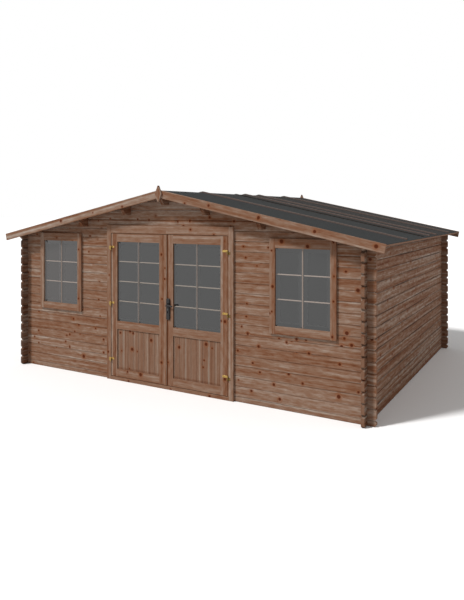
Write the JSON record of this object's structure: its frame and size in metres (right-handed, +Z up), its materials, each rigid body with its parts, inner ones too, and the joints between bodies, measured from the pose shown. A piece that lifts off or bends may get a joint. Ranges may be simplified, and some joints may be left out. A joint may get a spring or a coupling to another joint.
{
  "type": "log cabin",
  "caption": "Garden log cabin with interlocking log walls, shallow gabled felt roof, framed windows and a half-glazed double door.",
  "frame": {"origin": "on the ground under the middle of the cabin", "axes": "+X to the right seen from the front, +Y from the front to the back, +Z up"},
  "size_m": [5.3416, 4.06, 2.3973],
  "materials": {
    "log_wood": "impregnated brown pine with visible grain and knots",
    "joinery_wood": "planed, impregnated brown pine",
    "roof_wood": "planed, impregnated brown pine",
    "floor_wood": "planed pine boards",
    "felt": "mineral-surfaced bitumen felt",
    "glass": "clear float glass, dark inside",
    "bar_wood": "slim planed bars",
    "hinge_brass": "yellow passivated steel",
    "handle_black": "satin black"
  },
  "bodies": {
    "cabin": {"front_wall_left": "log_wood", "front_wall_right": "log_wood", "front_gable": "log_wood", "back_wall": "log_wood", "back_gable": "log_wood", "left_wall": "log_wood", "right_wall": "log_wood", "ridge_purlin": "roof_wood", "left_purlins": "roof_wood", "right_purlins": "roof_wood", "left_roof_boards": "roof_wood", "right_roof_boards": "roof_wood", "roof_felt": "felt", "left_roof_battens": "roof_wood", "right_roof_battens": "roof_wood", "front_left_barge_board": "joinery_wood", "front_right_barge_board": "joinery_wood", "back_left_barge_board": "joinery_wood", "back_right_barge_board": "joinery_wood", "front_finial": "joinery_wood", "back_finial": "joinery_wood", "floor_bearers": "floor_wood", "floor_boards": "floor_wood", "door_frame_jambs": "joinery_wood", "door_frame_head": "joinery_wood", "door_threshold": "joinery_wood", "window_frame_jambs": "joinery_wood", "window_frame_heads": "joinery_wood", "window_frame_sills": "joinery_wood", "window_glass": "glass", "window_glazing_bars": "bar_wood", "hinge_halves_on_frame": "hinge_brass"},
    "left_door": {"left_door_stiles": "joinery_wood", "left_door_rails": "joinery_wood", "left_door_panel": "joinery_wood", "left_door_glass": "glass", "left_door_glazing_bars": "bar_wood", "left_door_hinge_halves": "hinge_brass"},
    "right_door": {"right_door_stiles": "joinery_wood", "right_door_rails": "joinery_wood", "right_door_panel": "joinery_wood", "right_door_glass": "glass", "right_door_glazing_bars": "bar_wood", "right_door_hinge_halves": "hinge_brass", "right_door_handle_plates": "handle_black"},
    "door_lever": {"right_door_lever": "handle_black"}
  },
  "joints": [
    {"name": "left_door_hinge", "type": "hinge", "parent": "cabin", "child": "left_door", "pos_m": [-0.855, -1.888, 0.948], "axis": [0, 0, -1], "range_deg": [0, 110]},
    {"name": "right_door_hinge", "type": "hinge", "parent": "cabin", "child": "right_door", "pos_m": [0.855, -1.888, 0.948], "axis": [0, 0, 1], "range_deg": [0, 110]},
    {"name": "door_lever_turn", "type": "hinge", "parent": "right_door", "child": "door_lever", "pos_m": [0.042, -1.875, 1.013], "axis": [0, 1, 0], "range_deg": [0, 40], "stiffness_Nm_per_rad": 1.5, "springref_deg": -20.05}
  ]
}
